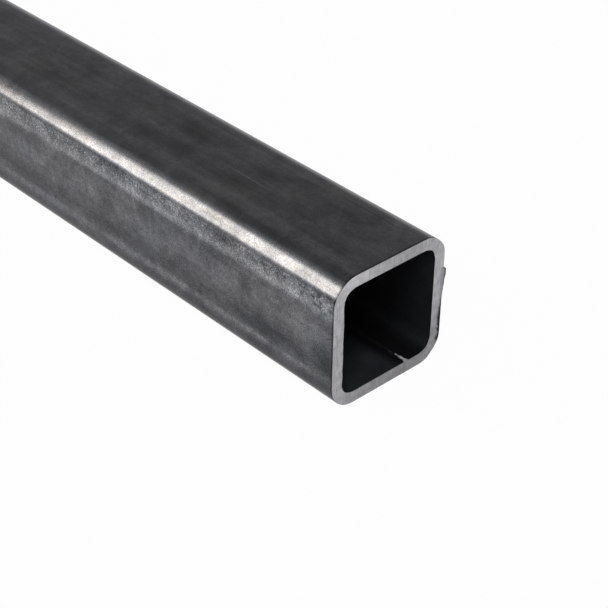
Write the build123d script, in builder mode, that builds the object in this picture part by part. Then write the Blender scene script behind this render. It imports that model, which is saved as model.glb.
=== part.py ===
from build123d import *
import os

# Square structural steel tube, roll formed from hot-rolled strip and seam welded,
# then sawn to length. It lies on its welded wall. X runs along the tube with the
# burred sawn end at +X, Y runs across it and Z is up. The origin is the centre of
# the face that it lies on. All sizes are in millimetres.

# Section: 2 in square with a nominal 3/16 in wall, which the mill rolls a little light
outside = 50.8
wall = 4.55
inner_corner_radius = 5.45

# Sold cut length: 2 ft
length = 609.6

# Weld flash left inside the tube, where the strip's two edges were pressed together.
# It is a leaning ridge, whose crest lies nearer the middle of the wall than its foot.
flash_offset = 9.6
flash_width = 2.4
flash_height = 1.8
flash_lean = 1.4
flash_root_depth = 0.5

# Saw burr on the near end, a thin lip beside the edge where the blade broke out.
# Each height stands past the sawn face, and each flare is how far the lip's tip
# lies outside the side face. It is torn off square at its top, and dies out below.
burr_root_width = 1.1
burr_root_depth = 0.3
burr_bottom_rise = 6.5
burr_bottom_height = 0.3
burr_bottom_flare = -0.9
burr_middle_rise = 27.0
burr_middle_height = 0.75
burr_middle_flare = -0.25
burr_top_rise = 35.9
burr_top_height = 0.9
burr_top_flare = 0.6

# Places that follow from the sizes above
outer_corner_radius = inner_corner_radius + wall
inside = outside - 2 * wall
near_end = length / 2
side_face = outside / 2
burr_stations = (
    (burr_bottom_rise, burr_bottom_height, burr_bottom_flare),
    (burr_middle_rise, burr_middle_height, burr_middle_flare),
    (burr_top_rise, burr_top_height, burr_top_flare),
)

with BuildPart() as tube:
    # Tube wall with its four formed corners, and the weld flash on the bottom wall
    with BuildSketch(Plane.YZ.offset(-near_end)):
        with Locations((0, outside / 2)):
            RectangleRounded(outside, outside, outer_corner_radius)
            RectangleRounded(inside, inside, inner_corner_radius, mode=Mode.SUBTRACT)
        with BuildLine():
            Polyline(
                (flash_offset - flash_width / 2, wall - flash_root_depth),
                (flash_offset + flash_width / 2, wall - flash_root_depth),
                (flash_offset + flash_width / 2, wall),
                (flash_offset - flash_lean, wall + flash_height),
                (flash_offset - flash_width / 2, wall),
                close=True,
            )
        make_face()
    extrude(amount=length)

    # Saw burr, a lip with a three-cornered section that changes from station to station
    for rise, height, flare in burr_stations:
        with BuildSketch(Plane.XY.offset(rise)):
            with BuildLine():
                Polyline(
                    (near_end - burr_root_depth, side_face - burr_root_width),
                    (near_end, side_face - burr_root_width),
                    (near_end + height, side_face + flare),
                    (near_end, side_face),
                    (near_end - burr_root_depth, side_face),
                    close=True,
                )
            make_face()
    loft()

tube.part.label = "tube"
os.makedirs("parts", exist_ok=True)
export_step(tube.part, "parts/tube.step")
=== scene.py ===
import math

import bpy
import numpy as np
from mathutils import Matrix, Vector


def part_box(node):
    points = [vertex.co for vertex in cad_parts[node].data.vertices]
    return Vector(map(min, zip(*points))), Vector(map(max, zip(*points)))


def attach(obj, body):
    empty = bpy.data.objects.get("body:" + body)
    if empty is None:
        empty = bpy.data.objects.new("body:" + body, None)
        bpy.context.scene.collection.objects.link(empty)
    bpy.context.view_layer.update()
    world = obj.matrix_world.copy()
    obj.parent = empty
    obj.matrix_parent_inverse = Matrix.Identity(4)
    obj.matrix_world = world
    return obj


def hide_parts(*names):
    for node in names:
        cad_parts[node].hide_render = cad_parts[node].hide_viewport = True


# A length of square steel tube as it comes from the mill. The strip is hot rolled, so it
# wears a dark blue-grey oxide. Forming rolls bend it to a square and rub that oxide in
# bands along the corners. A saw cuts it to length, which leaves bright grooved ends with
# a burr. Lengths are in metres, written as millimetres times MM.

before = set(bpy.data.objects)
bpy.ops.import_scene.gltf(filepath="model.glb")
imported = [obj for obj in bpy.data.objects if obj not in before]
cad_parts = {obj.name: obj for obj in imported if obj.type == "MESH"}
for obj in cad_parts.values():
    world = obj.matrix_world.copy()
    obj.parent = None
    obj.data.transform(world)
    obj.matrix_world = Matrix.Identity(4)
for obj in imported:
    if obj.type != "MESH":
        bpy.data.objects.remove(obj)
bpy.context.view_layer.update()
MM = 0.001
low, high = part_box("tube")

# Section and length, from the solid's own box and the sizes of this stock
OUTSIDE = high.z - low.z
FAR_END = low.x
NEAR_END = -low.x
WALL = 4.55 * MM
CORNER = 10.0 * MM
FLAT = OUTSIDE - 2 * CORNER
PITCH = FLAT + CORNER * math.pi / 2
GIRTH = 4 * PITCH

# How much flatter than round the rolls leave a corner's middle, outside, inside, and
# further outside on the two corners of the +Y wall, which they pressed to facets
CORNER_DIP_OUTSIDE = 0.04 * MM
CORNER_DIP_INSIDE = -0.12 * MM
FACET_DIP = 0.14 * MM

# Weld flash inside the bottom wall, a ridge that leans away from the burred side. A bead is
# one lump along its crest, and its lean and its least heights are shares of its heights. The
# saw pulled its end up at the near end, over the last few millimetres, and notched it where
# the beads' noise is low.
FLASH_OFFSET = 9.6 * MM
FLASH_WIDTH = 2.4 * MM
FLASH_HEIGHT = 1.3 * MM
FLASH_END_HEIGHT = 2.1 * MM
FLASH_END_LENGTH = 9.0 * MM
FLASH_LEAN = 0.8
FLASH_LEAST = 0.2
FLASH_END_LEAST = 0.55
FLASH_END_NOISE = (0.35, 0.6)
BEAD_SPACING = 1.4 * MM

# Saw burr along the near end of the +Y wall, a lip that is rolled over its rim at the low
# end and stands outwards at its torn top. Its bend, a share of its length, is where it
# starts to stand up. A tear is one notch in a burr's edge, and the least height and flare
# are what a notch leaves of them.
BURR_LOW = 6.5 * MM
BURR_TOP = 35.9 * MM
BURR_WIDTH = 1.3 * MM
BURR_LOW_HEIGHT = 0.3 * MM
BURR_TOP_HEIGHT = high.x - NEAR_END
BURR_LOW_FLARE = -1.4 * MM
BURR_TOP_FLARE = high.y - OUTSIDE / 2
BURR_BEND = 0.4
BURR_LEAST = 0.75
FLARE_LEAST = 0.6
TEAR_SPACING = 2.2 * MM

# The same blade left a small ragged burr inside the rim of the -Y wall. Its reach is how far
# from the wall's middle it ends, and up to where it is whole.
RIM_BURR_LEAST = 0.1 * MM
RIM_BURR_MOST = 0.32 * MM
RIM_BURR_REACH = (0.62 * FLAT, 0.45 * FLAT)
RIM_TEAR_SPACING = 6.0 * MM

# Spacing of the mesh's lines, round the girth and along the tube. The flats follow each
# other from the +Y wall, so the first carries the large burr and the third the small one.
# The edge break is a narrow bevel along each sawn edge, and an edge bent by more than the
# sharp angle is shaded sharp.
FLAT_STEPS = (0.4 * MM, 1.0 * MM, 0.5 * MM, 1.0 * MM)
CORNER_STEPS = 20
CORNER_STEP = CORNER * math.pi / 2 / CORNER_STEPS
FLASH_STEP = 0.12 * MM
FLASH_REACH = 0.7 * FLASH_WIDTH
EDGE_BREAK = 0.1 * MM
RING_FINE = 0.2 * MM
RING_STEP = 0.8 * MM
INSIDE_FINE = 0.5 * MM
OUTSIDE_FINE = 0.8 * MM
COARSE = 25.0 * MM
SHARP_ANGLE = math.radians(40)

# The span that most of a noise's values lie in
NOISE_SPREAD = (0.3, 0.7)

# Mill scale. A rub band is a distance up from the middle of an upright side in mm, round
# the girth from the middle of the bottom to that of the top, and how much the metal there
# reflects. The dark line from 19 to 19.8, just under each upper corner's bright band, is a
# painted reflection of a darker horizon. The low tones from -19.6 to -15.5 on each lower corner
# are partly painted shade. The other bands are such a distance and how strongly the scale is
# mottled there, how dark its worm-like specks are, and how far it is rubbed down to bare steel.
RUB_AND_SHADE_BANDS = (
    (-46.5, 0.11), (-33, 0.13), (-28, 0.12), (-25, 0.22), (-20.8, 0.22), (-19.6, 0.06),
    (-18, 0.07), (-15.5, 0.115), (-14, 0.17), (-12.8, 0.185), (-11, 0.115), (-8.2, 0.085),
    (-5, 0.105), (0, 0.15), (5, 0.142), (9.3, 0.115), (11, 0.14), (13.1, 0.31), (14.5, 0.3),
    (18.5, 0.275), (19, 0.11), (19.8, 0.115), (20.6, 0.27), (24.9, 0.27), (26.5, 0.155),
    (29, 0.142), (31, 0.17), (33, 0.16), (36.5, 0.12), (40, 0.11), (43, 0.12), (46.5, 0.13),
)
MOTTLE_BANDS = (
    (-46.5, 0.3), (-19, 0.6), (-13, 0.85), (0, 0.8), (11, 0.85), (13, 1.0), (18.6, 1.0),
    (19.3, 0.7), (20.6, 0.58), (23.3, 0.52), (24.6, 0.2), (26.5, 0.2), (33, 0.35), (46.5, 0.35),
)
SPECK_BANDS = (
    (-46.5, 0.0), (-19, 0.1), (-13, 0.25), (-9, 0.1), (9, 0.1), (13, 0.5), (16, 1.0),
    (18.7, 1.0), (19.3, 0.0), (46.5, 0.0),
)
BARE_BANDS = (
    (-46.5, 0.0), (-24.6, 0.0), (-23.3, 1.0), (-20.6, 1.0), (-20, 0.0), (20, 0.0),
    (20.6, 1.0), (23.3, 1.0), (24.6, 0.0), (46.5, 0.0),
)
SCALE_COLOURS = (
    (0.0, "#000000"), (0.05, "#3D3F42"), (0.12, "#616265"), (0.2, "#7B7D80"), (1.0, "#FAFCFF"),
)
BARE_TINT = "#FFF8EF"
DRIFT_TINTS = ("#FFFBF8", "#FAFBFF")
DRIFT_SIZE = 22 * MM
SCALE_METALLIC = 0.95

# How rough the scale is where little and where much is rubbed off, those two tones of the rub
# bands, and how much its grain changes that
SCALE_ROUGHNESS = (0.33, 0.24)
WORN_TONES = (0.12, 0.26)
GRAIN_ROUGHNESS = (0.97, 1.03)

# What breaks the scale's tone up. Tones are factors, and a swing is how far a factor strays
# from 1 at most. Pits are lighter on the scale than on bare steel.
STREAK_LENGTH = 35 * MM
STREAK_WIDTH = 2.5 * MM
STREAK_TONES = (0.88, 1.12)
CLOUD_SIZE = 13 * MM
CLOUD_TONES = (0.74, 1.26)
MOTTLE_SIZE = 3.0 * MM
MOTTLE_SWING = 0.3
GRAIN_SIZE = 0.5 * MM
GRAIN_SWING = 0.6
WORM_SIZE = 1.4 * MM
WORM_REACH = 0.09
WORM_DARK = 0.5
BLOT_SIZE = 2.6 * MM
BLOT_NOISE = (0.51, 0.58)
BLOT_DARK = 0.55
CUT_STRIP_WIDTH = 0.9 * MM
CUT_STRIP_TONE = 0.45
PIT_SIZE = 1.0 * MM
PIT_NOISE = (0.68, 0.76)
PIT_TONES = (0.65, 0.25)
TORN_TONE = 0.15
WANDER = 5.0 * MM

# Stains with wandering edges, and straight scratches. The last stain and the first scratch
# are painted highlight, which brightens and widens the bright band on the top corner of the
# -Y side near the near end. Each is a place from the near end and up from the middle of the
# -Y side, a half length, a half width, all in mm, a slope in degrees, and how much lighter or
# darker the scale is in its middle.
STAINS_AND_HIGHLIGHT = (
    (-121, 2, 8, 7, 0, -0.4),
    (-104, -3, 7, 6, 0, -0.2),
    (-118, 18.3, 18, 1.6, 0, -0.45),
    (-55, 17.2, 10, 2.0, 0, -0.45),
    (-44, 3, 4, 8, 30, -0.35),
    (-29, -8, 11, 5, 0, -0.35),
    (-34, 10, 9, 4, 0, -0.25),
    (-4, -8, 9, 6, 0, -0.45),
    (-3, -2, 9, 6, 0, -0.3),
    (-5, -15, 12, 5, 0, -0.4),
    (-40, -13, 8, 2.2, 0, 0.35),
    (-85, -13, 30, 2.0, 0, 0.15),
    (-10.5, -6.5, 4, 2, 20, 0.35),
    (-16, -12.5, 5, 2, 10, 0.35),
    (-21, 12, 22, 9, 0, 0.3),
    (-14, 3, 14, 6, 0, 0.1),
    (-118, 38, 10, 8, 0, -0.4),
    (-71, 40, 11, 4.5, -15, -0.3),
    (-19, 37, 9, 6, 0, -0.2),
    (-106, 52, 14, 6, 20, -0.35),
    (-62, 34, 26, 3, 0, 0.15),
    (-104, 45.5, 11, 2.5, 0, 0.2),
    (-14, 53, 22, 7, 0, 0.2),
    (-6, 15, 24, 5, 0, 0.2),
    # Painted highlight, which brightens the bright band near the near end
    (-2, 22.5, 34, 6, 0, 0.2),
)
SCRATCHES_AND_HIGHLIGHT = (
    # Painted highlight, which widens the bright band upwards near the near end
    (-5, 24.2, 75, 2.2, 0, 0.6),
    (-68, 44.9, 17, 0.5, 0.4, 0.8),
    (-60, 47.2, 10, 0.4, 0.4, 0.45),
    (-121, 45, 4, 0.9, 5, 0.7),
    (-88, 60, 30, 0.7, 0, 0.2),
    (-25, 60.5, 26, 0.6, 0, -0.4),
    (-103, 11, 9, 0.8, 83, 0.35),
    (-101, 5, 8, 0.6, 70, 0.25),
    (-94, 4, 10, 0.5, 80, 0.2),
    (-52, -9, 12, 0.5, 3, -0.25),
)
END_BLOTS = (-7, 15.9, 16, 4.5, 0, 1.8)

# Scale inside the bore. The floor's tones are painted light towards the -Y wall and painted
# shade from beside the weld flash to the +Y wall, its top is where the walls' tones take
# over, and the shade's edge is where one of its tones changes to the other, across the tube.
# The flash's crest is bright from one depth to the next, and along the end that the saw
# pulled up, where it is bare steel and partly painted light that fades into the bore.
BORE_TONES = (0.01, 0.022)
BORE_GRAIN_TONES = (0.6, 1.4)
BORE_COLOURS = ((0.0, "#000000"), (0.05, "#3A3E43"), (0.2, "#7B7D80"), (1.0, "#FAFCFF"))
BORE_METALLIC = 0.4
BORE_ROUGHNESS = 0.55
BORE_FLOOR_LIGHT_AND_SHADE = (2.1, 0.3)
BORE_FLOOR_TOP = (WALL + 2 * MM, WALL + 0.5 * MM)
FLOOR_SHADE_EDGE = (4 * MM, 7 * MM)
CREST_TONE = 1.0
CREST_LEAST = 0.012
CREST_DEPTHS = (WALL + 0.4 * FLASH_HEIGHT, WALL + 0.5 * FLASH_END_HEIGHT)
CREST_END = (NEAR_END - 0.8 * FLASH_END_LENGTH, NEAR_END - 0.2 * FLASH_END_LENGTH)

# The saw's cut. A groove's sizes are into the tube, across the groove and along it. The cut's
# stains are given as the scale's are, and the last one is the weld's bond line. The cut has
# painted shade towards the foot of the +Y wall, below a line that slopes up to that wall.
SAW_TONES = (0.38, 0.59)
SAW_STAINS = ((0, 29, 50, 10, 0, 0.3), (0, 57, 50, 22, 0, -0.2), (0, -55.1, 50, 0.6, 0, -0.3))
SAW_COLOURS = ((0.0, "#000000"), (1.0, "#FDFBFF"))
SAW_ROUGHNESS = 0.42
GROOVE_SIZE = (2.0 * MM, 0.45 * MM, 4.0 * MM)
GROOVE_DEPTH = 0.012 * MM
BLOTCH_SIZE = 2.5 * MM
BLOTCH_TONES = (0.82, 1.18)
CUT_SHADE_TONE = 0.72
CUT_SHADE_SLOPE = -0.45
CUT_SHADE_HEIGHT = 16 * MM
# The lip's tones are painted shade: a dark line near its root, and darker towards its outer edge
LIP_SHADE_TONES = ((0.0, 1.0), (0.08, 0.62), (0.2, 0.72), (0.5, 0.66), (0.8, 0.5), (1.0, 0.35))
LIP_START = (0.1, 0.3)
LIP_STRANDS = 9
STRAND_LENGTH = 6 * MM
STRAND_SWING = 0.5

# The black, matt skin outside the burr starts this near to the burr's edge, which is at 1
SKIN_START = 0.9
SKIN_COLOUR = "#17181A"
SKIN_ROUGHNESS = 0.8
SKIN_GLOSS = 0.15

# The photograph's camera: a square picture 608 pixels wide, seen with no shift
PICTURE_PX = 608
SENSOR = 36.0
FOCAL_PX = 1640.7
CAMERA_PLACE = Vector((NEAR_END + 0.301686, -0.321041, 0.337062))
CAMERA_HEADING = math.radians(46.857)
CAMERA_DIP = math.radians(34.756)
CAMERA_ROLL = math.radians(0.875)

# Studio. A tone is the sine of a direction's height, and how bright the walls are there.
# Near the tube, metal mirrors less white in the floor, as it does over a contact shadow.
FLOOR_SIZE = 12.0
FLOOR_WHITE = 0.97
FLOOR_WHITE_MIRRORED = ((0.0, 0.2), (0.12, 0.42), (0.25, 0.5), (0.45, 0.56), (1.0, 0.56))
FLOOR_SHADOW = 100 * MM
FLOOR_GAP = 0.05 * MM
STUDIO_TONES = (
    (0.0, 1.0), (0.19, 1.0), (0.26, 0.42), (0.34, 0.16), (0.46, 0.12), (0.57, 0.36), (0.68, 0.3),
    (0.78, 0.2), (1.0, 0.14),
)

# A soft box is its name, its place, what it faces, its width, its height and its watts
SOFT_BOXES = (
    ("side_softbox", (-1.219, -1.739, 1.17), (-0.705, -1.126, 1.17), 1.35, 1.5, 21.8),
    ("front_fill", (1.3, -1.3, 2.2), (0, 0, 0), 1.2, 1.2, 30.0),
)

# What each stretch of the surface is
SCALE, SAW_CUT, BORE, BURR_SKIN = range(4)

# The middle of the -Y side, round the girth from the weld
SIDE_MIDDLE = 3 * PITCH - FLASH_OFFSET

TUBE_SIZES = {
    "Girth": GIRTH,
    "Pitch": PITCH,
    "Flat": FLAT,
    "Corner radius": CORNER,
    "Corner dip outside": CORNER_DIP_OUTSIDE,
    "Corner dip inside": CORNER_DIP_INSIDE,
    "Facet dip": FACET_DIP,
    "Flash half width": FLASH_WIDTH / 2,
    "Flash height": FLASH_HEIGHT,
    "Flash end height": FLASH_END_HEIGHT,
    "Rim burr least": RIM_BURR_LEAST,
    "Rim burr most": RIM_BURR_MOST,
    "Seed": 7.0,
}

MATH = "ShaderNodeMath"
VECTOR = "ShaderNodeVectorMath"
NOISE = "ShaderNodeTexNoise"
RANGE = "ShaderNodeMapRange"
RAMP = "ShaderNodeValToRGB"
TINT = "ShaderNodeMixRGB"
COMPARE = "FunctionNodeCompare"
SPLIT = "ShaderNodeSeparateXYZ"
JOIN = "ShaderNodeCombineXYZ"
TURN = "ShaderNodeVectorRotate"


def add(tree, kind, inputs=None, stops=(), **settings):
    """Adds a node. An input is a plain value, a socket, or a node whose first output is meant.
    The stops of a colour ramp are each a place and a tone or a hex colour."""
    made = tree.nodes.new(kind)
    for name, value in settings.items():
        setattr(made, name, value)
    for key, value in (inputs or {}).items():
        if isinstance(value, bpy.types.Node):
            value = value.outputs[0]
        if isinstance(value, bpy.types.NodeSocket):
            tree.links.new(value, made.inputs[key])
        else:
            made.inputs[key].default_value = value
    marks = made.color_ramp.elements if stops else ()
    while len(marks) < len(stops):
        marks.new(1.0)
    for mark, (place, colour) in zip(marks, stops):
        mark.position = place
        mark.color = linear(colour) if isinstance(colour, str) else (colour, colour, colour, 1.0)
    return made


def linear(hexadecimal):
    """An sRGB hex colour as linear RGBA."""
    parts = [int(hexadecimal[i:i + 2], 16) / 255 for i in (1, 3, 5)]
    return [p / 12.92 if p <= 0.04045 else ((p + 0.055) / 1.055) ** 2.4 for p in parts] + [1.0]


def between(tree, noise, least, most):
    """A noise's usual spread, widened to run from the least to the most."""
    return add(tree, RANGE, {"Value": noise, "From Min": NOISE_SPREAD[0], "From Max": NOISE_SPREAD[1],
                             "To Min": least, "To Max": most})


def product(tree, factors):
    """All the factors multiplied together."""
    total = factors[0]
    for factor in factors[1:]:
        total = add(tree, MATH, {0: total, 1: factor}, operation="MULTIPLY")
    return total


def lengthwise(fine):
    """Places from the near end to the far one, close together at both and coarse between."""
    half = NEAR_END - EDGE_BREAK
    ratio = (half - fine) / (half - COARSE)
    count = round(1 + math.log(COARSE / fine) / math.log(ratio))
    places = np.concatenate([[0], np.cumsum(fine * ratio ** np.arange(count))])
    near = half * (1 - places / places[-1])
    return np.concatenate([near, -near[-2::-1]])


def spaced(marks):
    """Places along a line. Each mark is a place and about how far apart the next ones are."""
    pieces = []
    for (start, step), (stop, _) in zip(marks, marks[1:]):
        pieces.append(np.linspace(start, stop, max(1, round((stop - start) / step)), endpoint=False))
    return np.concatenate(pieces)


def girth_lines():
    """Places round the girth, from the weld past the +Y side, the top and the -Y side."""
    first_corner = FLAT / 2 - FLASH_OFFSET
    marks = [(0, FLASH_STEP), (FLASH_REACH, FLAT_STEPS[-1])]
    for side, step in enumerate(FLAT_STEPS):
        corner = first_corner + side * PITCH
        marks += [(corner, CORNER_STEP), (corner + PITCH - FLAT, step)]
    return spaced(marks + [(GIRTH - FLASH_REACH, FLASH_STEP), (GIRTH, None)])


def wall_lines():
    """Places on a cut along the wall, as (x, depth under the outside), and what each stretch is."""
    deepest = WALL - EDGE_BREAK
    across = np.append(spaced([(EDGE_BREAK, RING_FINE), (BURR_WIDTH, RING_STEP), (deepest, None)]), deepest)
    inside, outside = lengthwise(INSIDE_FINE), lengthwise(OUTSIDE_FINE)[::-1]
    places = [(NEAR_END, depth) for depth in across]
    places += [(x, WALL) for x in inside]
    places += [(FAR_END, depth) for depth in across[::-1]]
    places += [(x, 0.0) for x in outside]
    regions = [SAW_CUT] * len(across) + [BORE] * (len(inside) - 1)
    regions += [SAW_CUT] * (len(across) + 1) + [SCALE] * len(outside)
    return places, regions


def flat_strip(finishes):
    """The strip before it is rolled: x along it, y round the girth and z the depth in the wall."""
    girth = girth_lines()
    places, regions = wall_lines()
    across, around = len(places), len(girth)
    points = [(x, y, depth) for y in girth for x, depth in places]
    quads = []
    for i in range(around):
        here, there = i * across, (i + 1) % around * across
        for j in range(across):
            k = (j + 1) % across
            quads.append((here + j, there + j, there + k, here + k))
    mesh = bpy.data.meshes.new("strip")
    mesh.from_pydata(points, [], quads)
    region = mesh.attributes.new("region", "INT", "FACE")
    region.data.foreach_set("value", regions * around)
    for finish in finishes.values():
        mesh.materials.append(finish)
    return bpy.data.objects.new("strip", mesh)


def weld_flash(tree, given, along, around):
    """Height of the flash: a ridge over the weld, three-cornered across and ragged along."""
    half_girth = add(tree, MATH, {0: given["Girth"], 1: 0.5}, operation="MULTIPLY")
    other_half = add(tree, MATH, {0: given["Girth"], 1: -0.5}, operation="MULTIPLY")
    from_weld = add(tree, MATH, {0: around, 1: half_girth, 2: other_half}, operation="WRAP")
    aside = add(tree, MATH, {0: from_weld}, operation="ABSOLUTE")
    share = add(tree, MATH, {0: aside, 1: given["Flash half width"]}, operation="DIVIDE")
    profile = add(tree, MATH, {0: 1.0, 1: share}, operation="SUBTRACT", use_clamp=True)
    bead = add(tree, MATH, {0: along, 1: 1 / BEAD_SPACING, 2: given["Seed"]}, operation="MULTIPLY_ADD")
    beads = add(tree, NOISE, {"W": bead, "Scale": 1.0, "Detail": 3.0, "Roughness": 0.7},
                noise_dimensions="1D")
    lumpy = between(tree, beads, FLASH_LEAST, 1.0)
    crest = add(tree, MATH, {0: lumpy, 1: given["Flash height"]}, operation="MULTIPLY")
    near = add(tree, RANGE, {"Value": along, "From Min": NEAR_END - FLASH_END_LENGTH,
                             "From Max": NEAR_END})
    pulled = add(tree, MATH, {0: near, 1: 2.0}, operation="POWER")
    notched = add(tree, RANGE, {"Value": beads, "From Min": FLASH_END_NOISE[0],
                                "From Max": FLASH_END_NOISE[1], "To Min": FLASH_END_LEAST})
    end = add(tree, MATH, {0: notched, 1: given["Flash end height"]}, operation="MULTIPLY")
    height = add(tree, "ShaderNodeMix", {0: pulled, 2: crest, 3: end})
    return add(tree, MATH, {0: height, 1: profile}, operation="MULTIPLY")


def rim_burr(tree, given, around):
    """How far the small burr stands into the bore from the rim of the -Y wall."""
    middle = add(tree, MATH, {0: around, 1: SIDE_MIDDLE}, operation="SUBTRACT")
    aside = add(tree, MATH, {0: middle}, operation="ABSOLUTE")
    inward = add(tree, RANGE, {"Value": aside, "From Min": RIM_BURR_REACH[0],
                               "From Max": RIM_BURR_REACH[1]})
    tear = add(tree, MATH, {0: around, 1: 1 / RIM_TEAR_SPACING, 2: given["Seed"]},
               operation="MULTIPLY_ADD")
    tears = add(tree, NOISE, {"W": tear, "Scale": 1.0, "Detail": 2.5, "Roughness": 0.5},
                noise_dimensions="1D")
    ragged = between(tree, tears, given["Rim burr least"], given["Rim burr most"])
    return add(tree, MATH, {0: ragged, 1: inward}, operation="MULTIPLY")


def rolled_section(tree, given, around, depth):
    """Bends the flat strip to the square section: each side is a flat and then a corner."""
    start = add(tree, MATH, {0: around, 1: FLAT / 2 + FLASH_OFFSET}, operation="ADD")
    sides = add(tree, MATH, {0: start, 1: given["Pitch"]}, operation="DIVIDE")
    side = add(tree, MATH, {0: sides}, operation="FLOOR")
    on_side = add(tree, MATH, {0: start, 1: given["Pitch"]}, operation="MODULO")
    on_flat = add(tree, MATH, {0: on_side, 1: given["Flat"]}, operation="MINIMUM")
    past_flat = add(tree, MATH, {0: on_side, 1: on_flat}, operation="SUBTRACT")
    turn = add(tree, MATH, {0: past_flat, 1: given["Corner radius"]}, operation="DIVIDE")

    # The dip in a corner's middle, with a slight swell on both sides of it
    twice = add(tree, MATH, {0: turn, 1: 2.0}, operation="MULTIPLY")
    wave = add(tree, MATH, {0: twice}, operation="SINE")
    wave_squared = add(tree, MATH, {0: wave, 1: wave}, operation="MULTIPLY")
    fall = add(tree, MATH, {0: wave_squared, 1: -4.0, 2: 3.0}, operation="MULTIPLY_ADD")
    shape = add(tree, MATH, {0: wave_squared, 1: fall}, operation="MULTIPLY")
    faceted = add(tree, MATH, {0: side, 1: 1.5}, operation="LESS_THAN")
    dip_outside = add(tree, MATH, {0: faceted, 1: given["Facet dip"], 2: given["Corner dip outside"]},
                      operation="MULTIPLY_ADD")
    dip = add(tree, RANGE, {"Value": depth, "From Max": WALL, "To Min": dip_outside,
                            "To Max": given["Corner dip inside"]})
    swell = add(tree, MATH, {0: shape, 1: dip}, operation="MULTIPLY")

    bare_reach = add(tree, MATH, {0: depth, 1: given["Corner radius"]}, operation="SUBTRACT")
    reach = add(tree, MATH, {0: bare_reach, 1: swell}, operation="SUBTRACT")
    arm = add(tree, TURN, {"Vector": add(tree, JOIN, {2: reach}), "Angle": turn}, rotation_type="X_AXIS")
    half_flat = add(tree, MATH, {0: given["Flat"], 1: 0.5}, operation="MULTIPLY")
    across = add(tree, MATH, {0: on_flat, 1: half_flat}, operation="SUBTRACT")
    down = add(tree, MATH, {0: half_flat, 1: -1.0}, operation="MULTIPLY")
    corner = add(tree, VECTOR, {0: arm, 1: add(tree, JOIN, {1: across, 2: down})}, operation="ADD")
    quarters = add(tree, MATH, {0: side, 1: math.pi / 2}, operation="MULTIPLY")
    return add(tree, TURN, {"Vector": corner, "Angle": quarters}, rotation_type="X_AXIS")


def saw_burr(tree, around, depth, at_end, rolled, tears):
    """Where the large burr is, from 0 to 1 at its edge, and how far that edge is moved."""
    up = add(tree, SPLIT, {0: rolled}).outputs["Z"]
    climb = add(tree, RANGE, {"Value": up, "From Min": BURR_LOW, "From Max": BURR_TOP}, clamp=False)
    above = add(tree, MATH, {0: climb, 1: 0.0}, operation="GREATER_THAN")
    below = add(tree, MATH, {0: climb, 1: 1.0}, operation="LESS_THAN")
    on_right = add(tree, MATH, {0: around, 1: GIRTH / 2}, operation="LESS_THAN")
    lip = add(tree, RANGE, {"Value": depth, "From Min": BURR_WIDTH, "From Max": EDGE_BREAK})
    torn = product(tree, [lip, above, below, on_right, at_end])

    rough = between(tree, tears, BURR_LEAST, 1.0)
    height = add(tree, RANGE, {"Value": climb, "From Min": BURR_BEND, "To Min": BURR_LOW_HEIGHT,
                               "To Max": BURR_TOP_HEIGHT})
    stands = add(tree, MATH, {0: height, 1: rough}, operation="MULTIPLY")
    ragged = between(tree, tears, FLARE_LEAST, 1.0)
    flare = add(tree, RANGE, {"Value": climb, "From Min": BURR_BEND, "To Min": BURR_LOW_FLARE,
                              "To Max": BURR_TOP_FLARE})
    leans = add(tree, MATH, {0: flare, 1: ragged}, operation="MULTIPLY")
    return torn, add(tree, JOIN, {0: stands, 1: leans})


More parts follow.
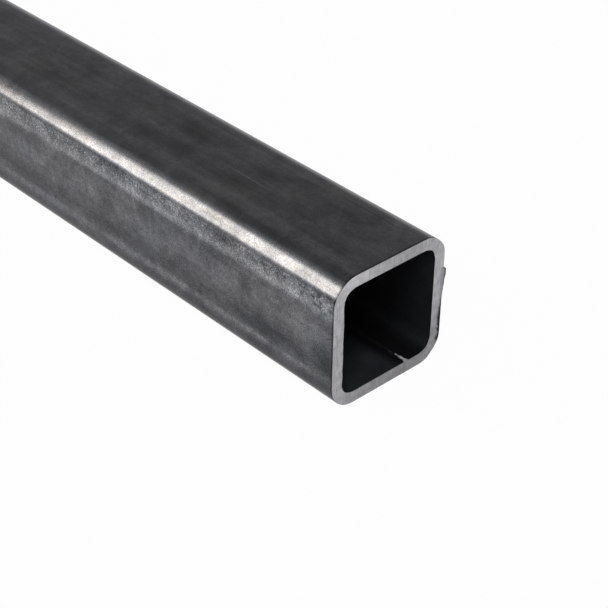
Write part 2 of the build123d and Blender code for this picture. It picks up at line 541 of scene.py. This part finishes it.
def rolled_tube_tree(finishes):
    """Rolls the flat strip to a square, raises the weld flash and turns out the burrs."""
    tree = bpy.data.node_groups.new("rolled_tube", "GeometryNodeTree")
    tree.interface.new_socket("Strip", in_out="INPUT", socket_type="NodeSocketGeometry")
    for name in TUBE_SIZES:
        tree.interface.new_socket(name, in_out="INPUT", socket_type="NodeSocketFloat")
    tree.interface.new_socket("Tube", in_out="OUTPUT", socket_type="NodeSocketGeometry")
    given = add(tree, "NodeGroupInput").outputs
    along, around, depth = add(tree, SPLIT, {0: add(tree, "GeometryNodeInputPosition")}).outputs

    at_end = add(tree, MATH, {0: along, 1: NEAR_END - 1.5 * EDGE_BREAK}, operation="GREATER_THAN")
    on_cut = add(tree, MATH, {0: along, 1: NEAR_END - 0.5 * EDGE_BREAK}, operation="GREATER_THAN")
    in_bore = add(tree, MATH, {0: depth, 1: WALL - 0.5 * EDGE_BREAK}, operation="GREATER_THAN")
    tear = add(tree, MATH, {0: around, 1: 1 / TEAR_SPACING, 2: given["Seed"]}, operation="MULTIPLY_ADD")
    tears = add(tree, NOISE, {"W": tear, "Scale": 1.0, "Detail": 2.0, "Roughness": 0.6},
                noise_dimensions="1D")

    flash = product(tree, [weld_flash(tree, given, along, around), in_bore])
    leaned = add(tree, MATH, {0: flash, 1: -FLASH_LEAN, 2: around}, operation="MULTIPLY_ADD")
    rim = product(tree, [rim_burr(tree, given, around), at_end, in_bore])
    with_flash = add(tree, MATH, {0: depth, 1: flash}, operation="ADD")
    raised = add(tree, MATH, {0: with_flash, 1: rim}, operation="ADD")
    section = rolled_section(tree, given, leaned, raised)
    place = add(tree, JOIN, {0: along, 2: OUTSIDE / 2})
    rolled = add(tree, VECTOR, {0: section, 1: place}, operation="ADD")
    torn, edge = saw_burr(tree, around, depth, at_end, rolled, tears)
    moved = add(tree, MATH, {0: torn, 1: on_cut}, operation="MULTIPLY")
    finished = add(tree, VECTOR, {0: edge, 1: moved, 2: rolled}, operation="MULTIPLY_ADD")

    strip = add(tree, JOIN, {0: along, 1: around, 2: raised})
    noted = add(tree, "GeometryNodeStoreNamedAttribute",
                {"Geometry": given["Strip"], "Name": "strip", "Value": strip}, data_type="FLOAT_VECTOR")
    marked = add(tree, "GeometryNodeStoreNamedAttribute",
                 {"Geometry": noted, "Name": "torn", "Value": torn}, data_type="FLOAT")
    shaped = add(tree, "GeometryNodeSetPosition", {"Geometry": marked, "Position": finished})
    whole = add(tree, "GeometryNodeRealizeInstances", {"Geometry": shaped})
    region = add(tree, "GeometryNodeInputNamedAttribute", {"Name": "region"}, data_type="INT")
    torn_everywhere = add(tree, "GeometryNodeInputNamedAttribute", {"Name": "torn"}, data_type="FLOAT")
    on_skin = add(tree, COMPARE, {0: torn_everywhere, 1: SKIN_START}, operation="GREATER_THAN")
    for number, finish in finishes.items():
        chosen = on_skin
        if number != BURR_SKIN:
            chosen = add(tree, COMPARE, {2: region, 3: number}, data_type="INT", operation="EQUAL")
        whole = add(tree, "GeometryNodeSetMaterial",
                    {"Geometry": whole, "Selection": chosen, "Material": finish})
    add(tree, "NodeGroupOutput", {"Tube": whole})
    return tree


def rolled_tube(finishes):
    """The tube as one plain mesh, with its finishes and the strip's own coordinates."""
    strip = flat_strip(finishes)
    bpy.context.scene.collection.objects.link(strip)
    rolling = strip.modifiers.new("rolling", "NODES")
    rolling.node_group = rolled_tube_tree(finishes)
    for socket in rolling.node_group.interface.items_tree:
        if socket.name in TUBE_SIZES:
            rolling[socket.identifier] = TUBE_SIZES[socket.name]
    depsgraph = bpy.context.evaluated_depsgraph_get()
    mesh = bpy.data.meshes.new_from_object(strip.evaluated_get(depsgraph))
    mesh.name = "rolled_tube"
    mesh.shade_smooth()
    mesh.set_sharp_from_angle(angle=SHARP_ANGLE)
    strip.modifiers.remove(rolling)
    flat = strip.data
    strip.data = mesh
    strip.name = "rolled_tube"
    bpy.data.meshes.remove(flat)
    return strip


def new_material(name):
    """An empty node material, its tree, and a shader already joined to its output."""
    material = bpy.data.materials.new(name)
    material.use_nodes = True
    tree = material.node_tree
    tree.nodes.clear()
    shader = add(tree, "ShaderNodeBsdfPrincipled")
    add(tree, "ShaderNodeOutputMaterial", {"Surface": shader})
    return material, tree, shader


def banded(tree, share, bands):
    """A tone that changes from band to band up an upright side."""
    stops = [(0.5 + rise * MM / (2 * PITCH), tone) for rise, tone in bands]
    return add(tree, RAMP, {0: share}, stops)


def swing(tree, noise, strength, most):
    """A factor that a noise swings to both sides of 1, by the most times the strength."""
    swung = add(tree, MATH, {0: between(tree, noise, -most, most), 1: strength}, operation="MULTIPLY")
    return add(tree, MATH, {0: swung, 1: 1.0}, operation="ADD")


def worm_specks(tree, noise):
    """How dark the worm-like specks are, along the lines where a noise passes its middle."""
    off_line = add(tree, MATH, {0: noise, 1: 0.5}, operation="SUBTRACT")
    aside = add(tree, MATH, {0: off_line}, operation="ABSOLUTE")
    return add(tree, RANGE, {"Value": aside, "From Min": WORM_REACH / 3, "From Max": WORM_REACH,
                             "To Min": WORM_DARK, "To Max": 0.0})


def spots(tree, strip, places, total):
    """The sum of long soft spots on the strip, added to a total."""
    for along, rise, half_length, half_width, slope, strength in places:
        turned = add(tree, "ShaderNodeMapping", {
            "Vector": strip, "Location": (NEAR_END + along * MM, SIDE_MIDDLE - rise * MM, 0.0),
            "Rotation": (0.0, 0.0, math.radians(slope)), "Scale": (half_length * MM, half_width * MM, 1.0)},
            vector_type="TEXTURE")
        spot = add(tree, "ShaderNodeTexGradient", {"Vector": turned}, gradient_type="SPHERICAL")
        total = add(tree, MATH, {0: spot, 1: strength, 2: total}, operation="MULTIPLY_ADD")
    return total


def mill_scale():
    """Hot-rolled magnetite scale. It is opaque and reflects like a dark metal, blue-black and
    half glossy. The forming rolls rubbed it to brighter steel along the corners, in a band
    just inside each corner and in faint lengthwise streaks, and it is pitted all over. Its
    tone also holds painted reflection and painted shade at the corners, and painted highlight
    on the bright band near the near end."""
    material, tree, shader = new_material("hot_rolled_mill_scale")
    strip = add(tree, "ShaderNodeAttribute", attribute_name="strip").outputs["Vector"]
    torn = add(tree, "ShaderNodeAttribute", attribute_name="torn").outputs["Fac"]
    along, around, _ = add(tree, SPLIT, {0: strip}).outputs
    place = add(tree, "ShaderNodeTexCoord").outputs["Object"]

    # Distance round the girth from the middle of the bottom, as a share of the way to the top
    from_bottom = add(tree, MATH, {0: around, 1: FLASH_OFFSET}, operation="ADD")
    rise = add(tree, MATH, {0: from_bottom, 1: 2 * PITCH}, operation="PINGPONG")
    share = add(tree, MATH, {0: rise, 1: 2 * PITCH}, operation="DIVIDE")
    # Tones of the rub bands, with painted reflection and painted shade at the corners
    rub_and_shade = banded(tree, share, RUB_AND_SHADE_BANDS)
    strength = banded(tree, share, MOTTLE_BANDS)

    # Streaks that the rolls and handling drew along the strip
    down_strip = add(tree, MATH, {0: along, 1: 1 / STREAK_LENGTH}, operation="MULTIPLY")
    over_strip = add(tree, MATH, {0: around, 1: 1 / STREAK_WIDTH}, operation="MULTIPLY")
    streak_place = add(tree, JOIN, {0: down_strip, 1: over_strip})
    streaks = add(tree, NOISE, {"Vector": streak_place, "Scale": 1.0, "Detail": 5.0, "Roughness": 0.55},
                  noise_dimensions="2D")

    # Clouds where the scale is thicker or thinner, its mottling and grain, and its pits
    clouds = add(tree, NOISE, {"Vector": place, "Scale": 1 / CLOUD_SIZE, "Detail": 4.0, "Roughness": 0.5,
                               "Distortion": 0.6})
    mottle = add(tree, NOISE, {"Vector": place, "Scale": 1 / MOTTLE_SIZE, "Detail": 3.0, "Roughness": 0.6})
    grain = add(tree, NOISE, {"Vector": place, "Scale": 1 / GRAIN_SIZE, "Detail": 2.0, "Roughness": 0.6})
    pits = add(tree, NOISE, {"Vector": place, "Scale": 1 / PIT_SIZE, "Detail": 1.0})
    bare = banded(tree, share, BARE_BANDS)
    pit_tone = add(tree, RANGE, {"Value": bare, "To Min": PIT_TONES[0], "To Max": PIT_TONES[1]})
    pitted = add(tree, RANGE, {"Value": pits, "From Min": PIT_NOISE[0], "From Max": PIT_NOISE[1],
                               "To Min": 1.0, "To Max": pit_tone})

    # Below each upper corner the scale is broken up to dark worm-like specks, and to blots at
    # the near end
    worms = add(tree, NOISE, {"Vector": place, "Scale": 1 / WORM_SIZE, "Detail": 3.0, "Roughness": 0.65})
    specks = product(tree, [worm_specks(tree, worms), banded(tree, share, SPECK_BANDS)])
    blots = add(tree, NOISE, {"Vector": place, "Scale": 1 / BLOT_SIZE, "Detail": 1.0})
    blotted = add(tree, RANGE, {"Value": blots, "From Min": BLOT_NOISE[0], "From Max": BLOT_NOISE[1],
                                "To Max": BLOT_DARK})
    near_end = add(tree, MATH, {0: spots(tree, strip, (END_BLOTS,), 0.0), 1: 1.0}, operation="MINIMUM")
    specked = product(tree, [add(tree, MATH, {0: 1.0, 1: dark}, operation="SUBTRACT")
                             for dark in (specks, product(tree, [blotted, near_end]))])

    # The scale is darker in a thin strip beside each cut
    from_middle = add(tree, MATH, {0: along}, operation="ABSOLUTE")
    darker_by_cut = add(tree, RANGE, {"Value": from_middle, "From Min": NEAR_END - CUT_STRIP_WIDTH,
                               "From Max": NEAR_END - 0.5 * CUT_STRIP_WIDTH, "To Min": 1.0,
                               "To Max": CUT_STRIP_TONE})

    # Stains and scratches, with two painted highlights on the bright band near the near end
    wander = add(tree, NOISE, {"Vector": place, "Scale": 1 / (2 * WANDER), "Detail": 4.0,
                               "Roughness": 0.6})
    strayed = add(tree, VECTOR, {0: wander.outputs["Color"], 1: (WANDER, WANDER, 0.0), 2: strip},
                  operation="MULTIPLY_ADD")
    centred = add(tree, VECTOR, {0: strayed, 1: (WANDER / 2, WANDER / 2, 0.0)}, operation="SUBTRACT")
    marked = [spots(tree, centred, STAINS_AND_HIGHLIGHT, 1.0), spots(tree, strip, SCRATCHES_AND_HIGHLIGHT, 1.0)]

    skin = add(tree, RANGE, {"Value": torn, "To Min": 1.0, "To Max": TORN_TONE})
    tone = product(tree, [rub_and_shade, between(tree, streaks, *STREAK_TONES), between(tree, clouds, *CLOUD_TONES),
                          swing(tree, mottle, strength, MOTTLE_SWING),
                          swing(tree, grain, strength, GRAIN_SWING),
                          pitted, specked, darker_by_cut, skin] + marked)

    # Bare steel is warmer than the scale, which drifts between a brown and a blue grey
    grey = add(tree, RAMP, {0: tone}, SCALE_COLOURS)
    warmed = add(tree, TINT, {0: bare, 1: grey, 2: linear(BARE_TINT)}, blend_type="MULTIPLY")
    drift = add(tree, NOISE, {"Vector": place, "Scale": 1 / DRIFT_SIZE, "Detail": 3.0, "Roughness": 0.6})
    drifted = add(tree, RAMP, {0: between(tree, drift, 0.0, 1.0)}, list(enumerate(DRIFT_TINTS)))
    tinted = add(tree, TINT, {0: 1.0, 1: warmed, 2: drifted}, blend_type="MULTIPLY")
    tree.links.new(tinted.outputs[0], shader.inputs["Base Color"])
    rough, smooth = SCALE_ROUGHNESS
    worn = add(tree, RANGE, {"Value": rub_and_shade, "From Min": WORN_TONES[0], "From Max": WORN_TONES[1],
                             "To Min": rough, "To Max": smooth})
    uneven = product(tree, [between(tree, grain, *GRAIN_ROUGHNESS), worn])
    tree.links.new(uneven.outputs[0], shader.inputs["Roughness"])
    shader.inputs["Metallic"].default_value = SCALE_METALLIC
    return material


def bore_scale():
    """The scale inside the tube, which nothing rubbed: dull and dark, with painted light on the
    floor towards the -Y wall, painted shade from beside the weld flash to the +Y wall, and the
    flash brighter along its crest."""
    material, tree, shader = new_material("bore_scale")
    strip = add(tree, "ShaderNodeAttribute", attribute_name="strip").outputs["Vector"]
    along, _, depth = add(tree, SPLIT, {0: strip}).outputs
    place = add(tree, "ShaderNodeTexCoord").outputs["Object"]
    _, aside, up = add(tree, SPLIT, {0: place}).outputs
    clouds = add(tree, NOISE, {"Vector": place, "Scale": 1 / CLOUD_SIZE, "Detail": 4.0, "Roughness": 0.6})

    # The bottom wall has painted light towards the -Y wall and painted shade from beside the weld flash to
    # the +Y wall
    lit_floor_tone, shaded_floor_tone = BORE_FLOOR_LIGHT_AND_SHADE
    floor_light_and_shade = add(tree, RANGE, {"Value": aside, "From Min": FLOOR_SHADE_EDGE[0], "From Max": FLOOR_SHADE_EDGE[1],
                             "To Min": lit_floor_tone, "To Max": shaded_floor_tone})
    on_floor = add(tree, RANGE, {"Value": up, "From Min": BORE_FLOOR_TOP[0], "From Max": BORE_FLOOR_TOP[1]})
    floor = add(tree, "ShaderNodeMix", {0: on_floor, 2: 1.0, 3: floor_light_and_shade})
    dull = product(tree, [between(tree, clouds, *BORE_TONES), floor])
    crest = add(tree, RANGE, {"Value": depth, "From Min": CREST_DEPTHS[0], "From Max": CREST_DEPTHS[1],
                              "To Max": CREST_TONE})
    # The crest is bright only near the near end: bare steel that the saw pulled up, and partly painted
    # light that fades into the bore
    sawn = add(tree, RANGE, {"Value": along, "From Min": CREST_END[0], "From Max": CREST_END[1],
                             "To Min": CREST_LEAST})
    lit = add(tree, MATH, {0: dull, 1: product(tree, [crest, sawn])}, operation="ADD")
    grain = add(tree, NOISE, {"Vector": place, "Scale": 1 / GRAIN_SIZE, "Detail": 3.0, "Roughness": 0.6})
    tone = product(tree, [lit, between(tree, grain, *BORE_GRAIN_TONES)])
    tree.links.new(add(tree, RAMP, {0: tone}, BORE_COLOURS).outputs[0], shader.inputs["Base Color"])
    shader.inputs["Metallic"].default_value = BORE_METALLIC
    shader.inputs["Roughness"].default_value = BORE_ROUGHNESS
    return material


def burr_skin():
    """The scale on the outside of the saw burr: black and matt."""
    material, _, shader = new_material("black_burr_skin")
    shader.inputs["Base Color"].default_value = linear(SKIN_COLOUR)
    shader.inputs["Roughness"].default_value = SKIN_ROUGHNESS
    shader.inputs["Specular IOR Level"].default_value = SKIN_GLOSS
    return material


def saw_cut():
    """Bare steel as the band saw leaves it: bright, finely grooved up and down, half matt."""
    material, tree, shader = new_material("band_sawn_steel")
    torn = add(tree, "ShaderNodeAttribute", attribute_name="torn").outputs["Fac"]
    strip = add(tree, "ShaderNodeAttribute", attribute_name="strip").outputs["Vector"]
    place = add(tree, "ShaderNodeTexCoord").outputs["Object"]
    scaled = add(tree, "ShaderNodeMapping", {"Vector": place, "Scale": [1 / size for size in GROOVE_SIZE]})
    grooves = add(tree, NOISE, {"Vector": scaled, "Scale": 1.0, "Detail": 4.0, "Roughness": 0.65})
    blotches = add(tree, NOISE, {"Vector": place, "Scale": 1 / BLOTCH_SIZE, "Detail": 4.0,
                                 "Roughness": 0.65})
    _, aside, up = add(tree, SPLIT, {0: place}).outputs
    # Painted shade, darker towards the bottom and up the foot of the +Y wall
    corner = add(tree, MATH, {0: aside, 1: CUT_SHADE_SLOPE, 2: up}, operation="MULTIPLY_ADD")
    painted_cut_shade = add(tree, RANGE, {"Value": corner, "From Max": CUT_SHADE_HEIGHT, "To Min": CUT_SHADE_TONE})

    # The torn lip is painted darker as shade, with a dark line near its root and darker towards its
    # outer edge, and it is drawn out to dark lines, which run up it
    lip = add(tree, RAMP, {0: torn}, LIP_SHADE_TONES)
    strand = add(tree, MATH, {0: torn, 1: LIP_STRANDS}, operation="MULTIPLY")
    up_strand = add(tree, MATH, {0: up, 1: 1 / STRAND_LENGTH}, operation="MULTIPLY")
    strand_place = add(tree, JOIN, {0: strand, 1: up_strand})
    strands = add(tree, NOISE, {"Vector": strand_place, "Scale": 1.0, "Detail": 2.0},
                  noise_dimensions="2D")
    on_lip = add(tree, RANGE, {"Value": torn, "From Min": LIP_START[0], "From Max": LIP_START[1]})
    drawn = swing(tree, strands, on_lip, STRAND_SWING)
    tone = product(tree, [between(tree, grooves, *SAW_TONES), between(tree, blotches, *BLOTCH_TONES),
                          lip, drawn, painted_cut_shade, spots(tree, strip, SAW_STAINS, 1.0)])
    tree.links.new(add(tree, RAMP, {0: tone}, SAW_COLOURS).outputs[0], shader.inputs["Base Color"])
    bump = add(tree, "ShaderNodeBump", {"Height": grooves, "Strength": 1.0, "Distance": GROOVE_DEPTH})
    tree.links.new(bump.outputs[0], shader.inputs["Normal"])
    shader.inputs["Metallic"].default_value = 1.0
    shader.inputs["Roughness"].default_value = SAW_ROUGHNESS
    return material


def studio_floor():
    """A pale floor, white where nothing shades it."""
    material = bpy.data.materials.new("pale_floor")
    material.use_nodes = True
    tree = material.node_tree
    tree.nodes.clear()
    paint = add(tree, "ShaderNodeBsdfDiffuse", {"Color": linear("#F2F2F2")})
    glow = add(tree, "ShaderNodeEmission", {"Color": linear("#FFFFFF"), "Strength": 1.0})
    path = add(tree, "ShaderNodeLightPath").outputs
    mirrored = add(tree, MATH, {0: path["Is Glossy Ray"], 1: path["Is Transmission Ray"]},
                   operation="MAXIMUM")
    place = add(tree, SPLIT, {0: add(tree, "ShaderNodeTexCoord").outputs["Object"]}).outputs
    clear = []
    for axis, half in (("X", NEAR_END), ("Y", OUTSIDE / 2)):
        aside = add(tree, MATH, {0: place[axis]}, operation="ABSOLUTE")
        clear.append(add(tree, MATH, {0: aside, 1: half}, operation="SUBTRACT"))
    away = add(tree, MATH, {0: clear[0], 1: clear[1]}, operation="MAXIMUM")
    shadow = add(tree, MATH, {0: away, 1: FLOOR_SHADOW}, operation="DIVIDE")
    mirrored_white = add(tree, RAMP, {0: shadow}, FLOOR_WHITE_MIRRORED)
    in_metal = add(tree, MATH, {0: mirrored, 1: mirrored_white}, operation="MULTIPLY")
    in_camera = add(tree, MATH, {0: path["Is Camera Ray"], 1: FLOOR_WHITE}, operation="MULTIPLY")
    white = add(tree, MATH, {0: in_camera, 1: in_metal}, operation="MAXIMUM")
    mixed = add(tree, "ShaderNodeMixShader", {0: white, 1: paint, 2: glow})
    add(tree, "ShaderNodeOutputMaterial", {"Surface": mixed})

    half, below = FLOOR_SIZE / 2, low.z - FLOOR_GAP
    corners = [(-half, -half, below), (half, -half, below), (half, half, below), (-half, half, below)]
    floor = bpy.data.meshes.new("studio_floor")
    floor.from_pydata(corners, [], [(0, 1, 2, 3)])
    floor.materials.append(material)
    made = bpy.data.objects.new("studio_floor", floor)
    bpy.context.scene.collection.objects.link(made)
    return made


def studio_world():
    """A studio that is white up to the top of any level picture, and darker overhead."""
    world = bpy.data.worlds.new("studio")
    world.use_nodes = True
    tree = world.node_tree
    tree.nodes.clear()
    up = add(tree, SPLIT, {0: add(tree, "ShaderNodeTexCoord").outputs["Generated"]}).outputs["Z"]
    walls = add(tree, RAMP, {0: up}, STUDIO_TONES)
    light = add(tree, "ShaderNodeBackground", {"Color": walls, "Strength": 1.0})
    add(tree, "ShaderNodeOutputWorld", {"Surface": light})
    bpy.context.scene.world = world


def area_lamp(name, place, target, width, height, watts):
    """A soft box that faces its target and isn't itself in the picture."""
    lamp = bpy.data.lights.new(name, "AREA")
    lamp.shape = "RECTANGLE"
    lamp.size, lamp.size_y = width, height
    lamp.energy = watts
    made = bpy.data.objects.new(name, lamp)
    made.location = place
    made.rotation_euler = (Vector(target) - Vector(place)).to_track_quat("-Z", "Y").to_euler()
    made.visible_camera = False
    bpy.context.scene.collection.objects.link(made)


def photo_camera():
    """The photograph's own view, worked out from the tube's outline."""
    camera = bpy.data.cameras.new("photo_camera")
    camera.sensor_width = SENSOR
    camera.lens = FOCAL_PX / PICTURE_PX * SENSOR
    made = bpy.data.objects.new("photo_camera", camera)
    heading = Matrix.Rotation(CAMERA_HEADING, 4, "Z")
    dip = Matrix.Rotation(math.pi / 2 - CAMERA_DIP, 4, "X")
    roll = Matrix.Rotation(CAMERA_ROLL, 4, "Z")
    made.matrix_world = Matrix.Translation(CAMERA_PLACE) @ heading @ dip @ roll
    bpy.context.scene.collection.objects.link(made)
    bpy.context.scene.camera = made


tube = rolled_tube({SCALE: mill_scale(), SAW_CUT: saw_cut(), BORE: bore_scale(), BURR_SKIN: burr_skin()})
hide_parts("tube")
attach(tube, "root")

studio_floor()
studio_world()
for soft_box in SOFT_BOXES:
    area_lamp(*soft_box)
photo_camera()
bpy.context.scene.view_settings.view_transform = "Standard"
